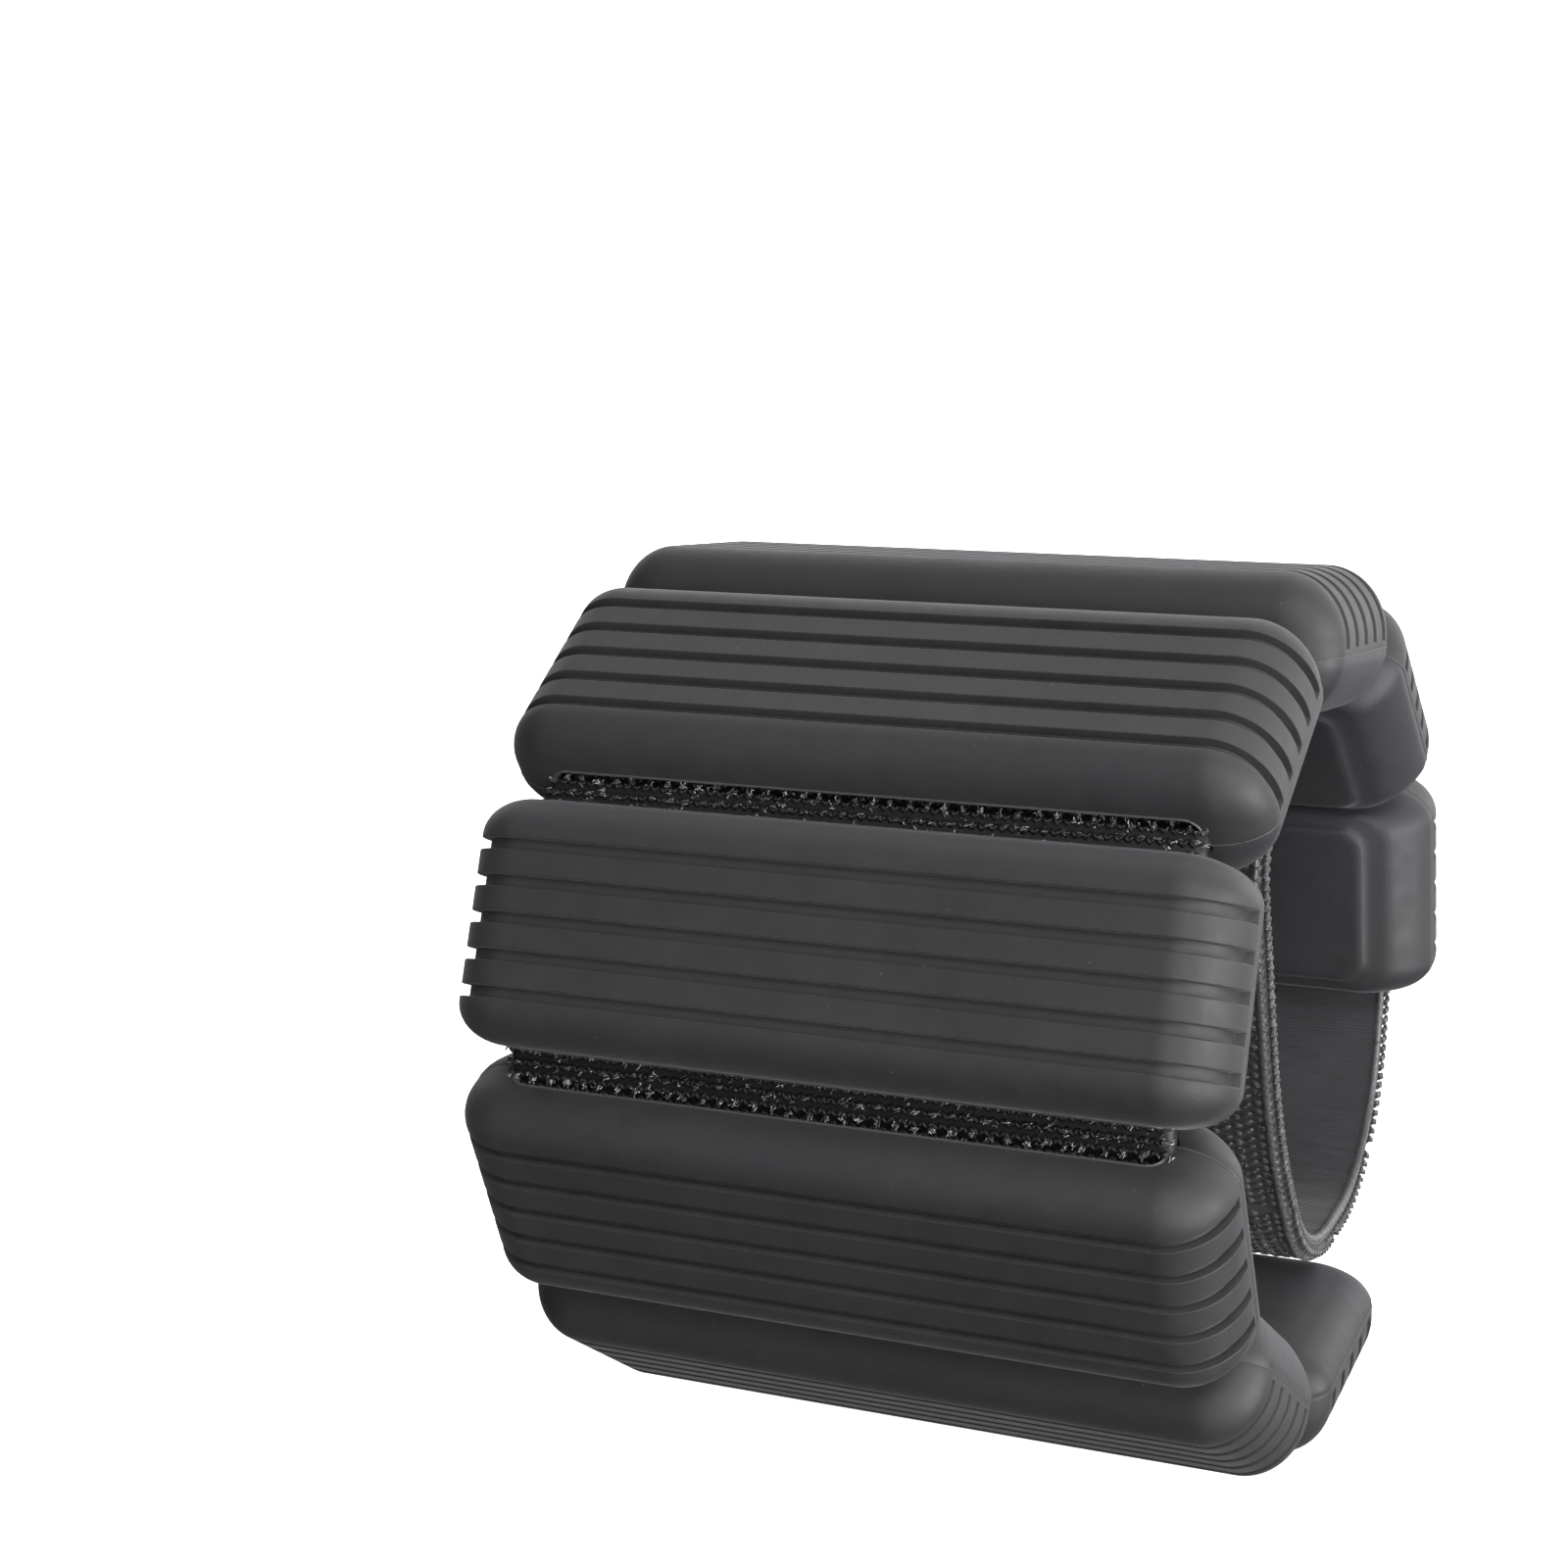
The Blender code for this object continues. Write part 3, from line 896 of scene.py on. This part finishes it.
def steel_look(name):
    """Bare steel, brushed along its length."""
    look = Look(name)
    place = look.shifted(0.4)
    brushed = look.node("ShaderNodeMapping")
    brushed.inputs["Scale"].default_value = (0.05, 1.0, 1.0)
    look.join(place, brushed.inputs["Vector"])
    lines = look.noise(brushed.outputs[0], 1800.0, 4.0)
    look.paint(
        look.mix(lines, (0.30, 0.30, 0.31), (0.50, 0.50, 0.51)),
        look.ramp(lines, 0.32, 0.5, 0.3, 0.7),
        look.bump(lines, 0.00005, 0.4),
    )
    look.set(Metallic=1.0)
    return look.material


# Each silicone: its dark, light and bluish tones and its roughness.
SILICONES = {
    "silicone": ("silicone_cover", (0.0225, 0.0225, 0.023), (0.03, 0.03, 0.03), (0.027, 0.027, 0.031), 0.60),
    "silicone_base": (
        "silicone_base",
        (0.0225, 0.0225, 0.0245),
        (0.029, 0.029, 0.031),
        (0.026, 0.026, 0.033),
        0.58,
    ),
    # Flash: its tones are lighter than the bars' as a painted highlight. The lip and parting-line bead are
    # real geometry; their lightness stands in for light catching them.
    "flash": ("silicone_flash", (0.055, 0.055, 0.058), (0.070, 0.070, 0.073), (0.062, 0.062, 0.068), 0.42),
}
# Each yarn: its dark and bright tones, roughness, sheen and the scale of its fuzz.
YARNS = {
    # The band pile's near-white bright tone is a painted glint, standing in for light glancing off shiny
    # black fibres.
    "loop_band": ("band_pile", (0.0028, 0.0028, 0.0034), (0.60, 0.60, 0.64), 0.58, 0.0, 900.0),
    "knit": ("strap_knit", (0.013, 0.013, 0.0145), (0.075, 0.075, 0.08), 0.55, 0.3, 1200.0),
    "hook": ("hook_tape", (0.007, 0.007, 0.008), (0.05, 0.05, 0.055), 0.4, 0.0, 700.0),
}
LOOKS = {key: silicone_look(*values) for key, values in SILICONES.items()}
LOOKS |= {key: yarn_look(*values) for key, values in YARNS.items()}
LOOKS["steel"] = steel_look("steel_core")
LOOKS["webbing"] = webbing_look("strap_webbing", (0.016, 0.016, 0.0185), (0.030, 0.030, 0.034))


# ---- build: bars


def build_bars():
    """Cover, base and flash of every bar, and the steel look on its core."""
    cover, base, closure_base = bar_masters()
    flash = flash_mesh()
    # The flash look's lighter tone is a painted highlight on the real lip and parting-line bead.
    flash.materials.append(LOOKS["flash"])
    cover.materials.append(LOOKS["silicone"])
    for mesh in (base, closure_base):
        mesh.materials.append(LOOKS["silicone_base"])
    for number, (origin, along, out) in enumerate(BARS, start=1):
        body = f"bar_{number}"
        columns = (Vector((1.0, 0.0, 0.0)), along, out, origin)
        rows = [[column[axis] for column in columns] for axis in range(3)]
        matrix = Matrix(rows + [[0.0, 0.0, 0.0, 1.0]])
        inner = closure_base if number == 1 else base
        for mesh, part, slot in ((cover, "cover", "silicone"), (inner, "base", "silicone_base")):
            piece = placed(f"{body}_{part}_skin", mesh, None, matrix)
            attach(piece, body)
            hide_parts(f"{body}_{part}")
        edge = placed(f"{body}_flash", flash, None, matrix)
        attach(edge, body)
        core = frame["nodes"][f"{body}_core"]
        core.data.materials.clear()
        core.data.materials.append(LOOKS["steel"])


# ---- build: band


def crossing_pile(mark, rng):
    """Knit ground and tufts of the band where it shows between two bars."""
    columns = np.arange(-GROUND_HALF_X, GROUND_HALF_X + 0.1, GROUND_PITCH_X)
    rows = np.arange(-CROSSING_HALF, CROSSING_HALF + 0.1, GROUND_PITCH_S)
    parts = []
    x, s = (a.ravel() for a in np.meshgrid(columns, mark + rows))
    for side in (-1, 1):
        lean = side * GROUND_LEAN + rng.normal(0, 0.08, len(x))
        points, quads = stitches(x + side * 0.24, s, np.full(len(x), GROUND_HIGH), lean, 1.0, 0.27, 0.22)
        parts.append((points, quads, 0.0))
    for index, row in enumerate(PILE_ROWS):
        shift = 0.5 * PILE_PITCH if index % 4 > 1 else 0.0
        x = np.arange(-PILE_HALF_X, PILE_HALF_X + 0.1, PILE_PITCH) + shift
        x = np.concatenate([[-PILE_HALF_X], x + rng.normal(0, 0.12, len(x)), [PILE_HALF_X]])
        x = x.clip(-PILE_HALF_X, PILE_HALF_X)
        s = mark + row + rng.normal(0, 0.1, len(x))
        if index % 2 == 0:
            parts.append(tufts(x, s, 0.88, TUFT_FILAMENTS, 0.85, rng))
        else:
            parts.append(dashes(x, s, 0.98, DASH_FILAMENTS, rng))
        strays = rng.uniform(-PILE_HALF_X, PILE_HALF_X, STRAY_TUFTS)
        parts.append(tufts(strays, mark + row + rng.normal(0, 0.5, STRAY_TUFTS), 0.9, 4, 0.6, rng))
    return parts


def build_band():
    """One piece inside bar 1, then one from the middle of each bar to the middle of the next.

    Gives the s of the last one's end, where the strap starts.
    """
    middles = [BAR_MARKS[0] - HALF_PITCH]
    middles += [(a + b) / 2 for a, b in zip(BAR_MARKS, BAR_MARKS[1:])]
    middles.append((BAR_MARKS[-1] + STRAP_MARKS[0]) / 2)
    profile = oval_profile(BAND_HALF_X, -BAND_HALF_T, BAND_FACE_HIGH, 1.1)
    for number in range(BAR_COUNT):
        start = 0.0 if number == 0 else middles[number - 1]
        stop = middles[number]
        name = f"bar_{number + 1}_band_strip"
        fold = BAR_MARKS[number - 1] if number else stop
        fine = np.clip(np.arange(-CROSSING_HALF, CROSSING_HALF, 0.3) + fold, start, stop)
        stations = np.unique(np.concatenate([np.linspace(start, stop, 12), fine]))
        points, quads = ribbon(profile, stations)
        faces = list(quads) + ends_of(stations, len(profile))
        mesh = welded(mesh_from(name, points, faces), 1e-7)
        mesh.set_sharp_from_angle(angle=math.radians(50))
        strip = placed(name, mesh, LOOKS["loop_band"])
        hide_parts(f"bar_{number + 1}_band")
        if number == 0:
            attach(strip, "bar_1")
            continue
        mark = BAR_MARKS[number - 1]
        pile_mesh = tone_mesh(f"bar_{number + 1}_band_pile", crossing_pile(mark, RNG))
        pile = placed(pile_mesh.name, pile_mesh, LOOKS["loop_band"])
        for piece in (strip, pile):
            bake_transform(piece)
    return middles[-1]


# ---- build: strap


def edge_cord(edge, inset, height, radius, start, stop, rng):
    """A soft cord along one edge of the strap, with short fibres standing off it."""
    s = np.linspace(start, stop, max(3, int((stop - start) / 0.25)))
    x = edge * (BAND_HALF_X - inset) + 0.03 * np.sin(s * 5.1)
    core = on_route(np.stack([x, s, height + 0.02 * np.sin(s * 7.3)], axis=-1))
    points, quads = tubes(core[None], (radius * (1 + 0.06 * np.sin(s * 11.0)))[None], 8)
    parts = [(points, quads, 0.55)]
    number = int((stop - start) * 22)
    around = rng.uniform(0, 2 * math.pi, number)[:, None]
    place = rng.uniform(start, stop, number)[:, None]
    reach = rng.uniform(0.05, 0.17, number)[:, None]
    sweep = rng.normal(0, 0.22, number)[:, None]
    t = np.linspace(0, 1, 4)[None, :]
    off = radius * 0.9 + reach * t
    local = np.stack(
        [
            edge * (BAND_HALF_X - inset) + off * np.cos(around),
            np.clip(place + sweep * t, start, stop),
            height + off * np.sin(around),
        ],
        axis=-1,
    )
    radii = np.full((number, 1), 0.022) * np.array([1.2, 1.0, 0.9, 0.7])[None, :]
    points, quads = tubes(on_route(local), radii)
    parts.append((points, quads, np.repeat(rng.uniform(0.3, 0.75, number), 16)))
    return parts


def knit_parts(start, stop, rng):
    """Braided stitch columns on the outward face and round both edges."""
    first, last = math.ceil(start / STITCH_PITCH_S), math.floor(stop / STITCH_PITCH_S)
    rows = np.arange(first, last + 1) * STITCH_PITCH_S
    rows = rows[(rows > start + 0.2) & (rows < stop - 0.2)]
    parts = []
    columns = np.arange(-KNIT_COLUMNS, KNIT_COLUMNS + 1) * STITCH_PITCH_X
    x, s = (a.ravel() for a in np.meshgrid(columns, rows))
    odd = np.round(x / STITCH_PITCH_X) % 2 == 0
    s = s + np.where(odd, 0.0, STITCH_PITCH_S / 2) + rng.normal(0, 0.035, len(x))
    lean = np.where(odd, 1, -1) * KNIT_LEAN + rng.normal(0, 0.10, len(x))
    h = np.full(len(x), KNIT_HIGH - 0.10) + rng.normal(0, 0.03, len(x))
    points, quads = stitches(x, s, h, lean, 1.05, 0.31, 0.12)
    parts.append((points, quads, np.repeat(rng.uniform(0.0, 0.5, len(x)), 20)))
    for edge in (-1, 1):
        for x_at, h_at, lean_sign in EDGE_COLUMNS:
            s = rows + rng.normal(0, 0.05, len(rows)) + (0.3 if lean_sign > 0 else 0.0)
            t = np.repeat(np.linspace(-1, 1, 5)[None, :], len(s), axis=0)
            tuck = 0.35 * np.maximum(t, 0) if lean_sign > 0 else 0.0
            local = np.stack(
                [
                    edge * (x_at + 0.16 * (1 - t**2) - tuck),
                    s[:, None] + lean_sign * t * 0.36,
                    h_at + t * 0.34,
                ],
                axis=-1,
            )
            radii = np.broadcast_to(np.array([0.16, 0.31, 0.36, 0.31, 0.16]), local.shape[:2])
            points, quads = tubes(on_route(local), radii)
            parts.append((points, quads, np.repeat(rng.choice([0.0, 0.5], len(s), p=[0.7, 0.3]), 20)))
        for inset, height, radius in EDGE_CORDS:
            parts += edge_cord(edge, inset, height, radius, start, stop, rng)
    return parts


def build_strap(start):
    """The strap from bar 8's middle to its end, cut at the middle of each span."""
    middles = [(a + b) / 2 for a, b in zip(STRAP_MARKS, STRAP_MARKS[1:])]
    middles.append((STRAP_MARKS[-1] + ROUTE_END) / 2)
    cuts = [start] + middles + [ROUTE_END - STRAP_END_GAP]
    step = RIB_PERIOD / 5
    inner = oval_profile(BAND_HALF_X, -BAND_HALF_T, STRAP_INNER_HIGH, 0.55, 5, 5)
    outer = oval_profile(BAND_HALF_X - 0.25, STRAP_INNER_HIGH - 0.25, KNIT_HIGH, 0.5, 4, 5)
    for index, (low, high) in enumerate(zip(cuts, cuts[1:])):
        body_b = f"strap_{index + 1}"
        last = index == len(cuts) - 2
        label = f"strap_{index + 1}" if not last else "strap_end"
        pieces = []
        for part, profile, rib, pitch, look in (
            ("webbing", inner, RIB_HEIGHT, step, "webbing"),
            ("backing", outer, 0.0, 0.6, "knit"),
        ):
            stations = np.linspace(low, high, max(2, int(round((high - low) / pitch)) + 1))
            points, quads = ribbon(profile, stations, rib)
            faces = list(quads) + ends_of(stations, len(profile))
            mesh = mesh_from(f"{label}_{part}", points, faces, 60)
            pieces.append(placed(mesh.name, mesh, LOOKS[look]))
        mesh = tone_mesh(f"{label}_knit", knit_parts(low, high, RNG))
        pieces.append(placed(mesh.name, mesh, LOOKS["knit"]))
        if not last:
            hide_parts(body_b)
        for piece in pieces:
            if last:
                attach(piece, "strap_6")
            else:
                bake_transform(piece)


def build_hook():
    """Hook tape on the outward face of the strap's last span."""
    low, high = STRAP_MARKS[-1] + HOOK_FROM_BEND, ROUTE_END - HOOK_FROM_END
    profile = oval_profile(HOOK_HALF_X, KNIT_HIGH + 0.25, KNIT_HIGH + 0.75, 0.2, 3, 5)
    stations = np.linspace(low, high, 12)
    points, quads = ribbon(profile, stations)
    parts = [(points, quads, 0.0)]
    columns = np.arange(1.0 - HOOK_HALF_X, HOOK_HALF_X - 0.9, HOOK_PITCH_X)
    rows = np.arange(low + 0.6, high - 0.3, HOOK_PITCH_S)
    x, s = (a.ravel() for a in np.meshgrid(columns, rows))
    t = np.linspace(0, 1, 7)[None, :]
    lean = np.where(np.arange(len(x)) % 2 == 0, 1.0, -1.0)[:, None]
    local = np.stack(
        [
            x[:, None] + 0 * t,
            s[:, None] + lean * 0.32 * (1 - np.cos(math.pi * t)) / 2,
            KNIT_HIGH + 0.7 + 0.62 * np.sin(math.pi * 0.72 * t) + 0 * x[:, None],
        ],
        axis=-1,
    )
    radii = np.broadcast_to(np.linspace(0.13, 0.07, 7), local.shape[:2])
    hooks_points, hooks_quads = tubes(on_route(local), radii)
    parts.append((hooks_points, hooks_quads, 0.4))
    mesh = tone_mesh("hook_tape", parts)
    tape = placed("hook_tape", mesh, LOOKS["hook"])
    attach(tape, "strap_6")
    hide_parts("hook_patch")


# ---- stage, light and camera


def area_light(name, location, size, power):
    """A square softbox that faces the cuff."""
    data = bpy.data.lights.new(name, "AREA")
    data.shape = "SQUARE"
    data.size = size
    data.energy = power
    obj = bpy.data.objects.new(name, data)
    bpy.context.scene.collection.objects.link(obj)
    obj.location = location
    obj.rotation_euler = (Vector(SOFTBOX_AIM) - Vector(location)).to_track_quat("-Z", "Y").to_euler()


def build_floor():
    """A plain pale floor that doesn't light the cuff from below."""
    turns = [2 * math.pi * k / FLOOR_SIDES for k in range(FLOOR_SIDES)]
    ring = [(FLOOR_RADIUS * math.cos(a), FLOOR_RADIUS * math.sin(a), -FLOOR_DROP) for a in turns]
    mesh = mesh_from("floor", ring, [range(FLOOR_SIDES)])
    look = Look("floor")
    place = look.node("ShaderNodeTexCoord").outputs["Object"]
    tone = look.mix(look.noise(place, 3.0, 2.0), (0.90, 0.90, 0.90), (0.92, 0.92, 0.92))
    look.join(tone, look.shader.inputs["Base Color"])
    look.shader.inputs["Emission Color"].default_value = (1, 1, 1, 1)
    look.set(Roughness=0.9, Specular_IOR_Level=0.1, Emission_Strength=0.92)
    floor = placed("floor", mesh, look.material)
    floor.visible_diffuse = False
    floor.visible_glossy = False


def build_world():
    """Dim grey surroundings, a little brighter overhead."""
    world = bpy.data.worlds.new("studio")
    world.use_nodes = True
    bpy.context.scene.world = world
    nodes, links = world.node_tree.nodes, world.node_tree.links
    back = nodes["Background"]
    place = nodes.new("ShaderNodeTexCoord")
    split = nodes.new("ShaderNodeSeparateXYZ")
    links.new(place.outputs["Generated"], split.inputs[0])
    rise = nodes.new("ShaderNodeMapRange")
    rise.interpolation_type = "SMOOTHSTEP"
    for key, value in (("From Min", -0.8), ("From Max", 0.9), ("To Min", 0.06), ("To Max", 0.15)):
        rise.inputs[key].default_value = value
    links.new(split.outputs[2], rise.inputs["Value"])
    links.new(rise.outputs["Result"], back.inputs["Strength"])
    back.inputs["Color"].default_value = (0.98, 0.985, 1.0, 1.0)


def build_camera():
    azimuth, elevation, roll = (math.radians(angle) for angle in CAMERA_ANGLES)
    outward = Vector((math.sin(azimuth), -math.cos(azimuth), 0.0))
    back = outward * math.cos(elevation) + Vector((0.0, 0.0, math.sin(elevation)))
    level = Vector((math.cos(azimuth), math.sin(azimuth), 0.0))
    right = level * math.cos(roll) + back.cross(level) * math.sin(roll)
    up = back.cross(right)
    place = Vector(CAMERA_AIM) + back * CAMERA_DISTANCE
    data = bpy.data.cameras.new("camera")
    data.lens = CAMERA_LENS
    data.sensor_width = 36.0
    data.clip_start = 0.01
    camera = bpy.data.objects.new("camera", data)
    bpy.context.scene.collection.objects.link(camera)
    rows = [(right[i], up[i], back[i], place[i]) for i in range(3)]
    camera.matrix_world = Matrix((*rows, (0.0, 0.0, 0.0, 1.0)))
    bpy.context.scene.camera = camera


def build_stage():
    bpy.context.scene.view_settings.view_transform = "Standard"
    build_floor()
    build_world()
    for softbox in SOFTBOXES:
        area_light(*softbox)
    build_camera()


build_stage()
build_bars()
build_strap(build_band())
build_hook()

bpy.context.view_layer.update()
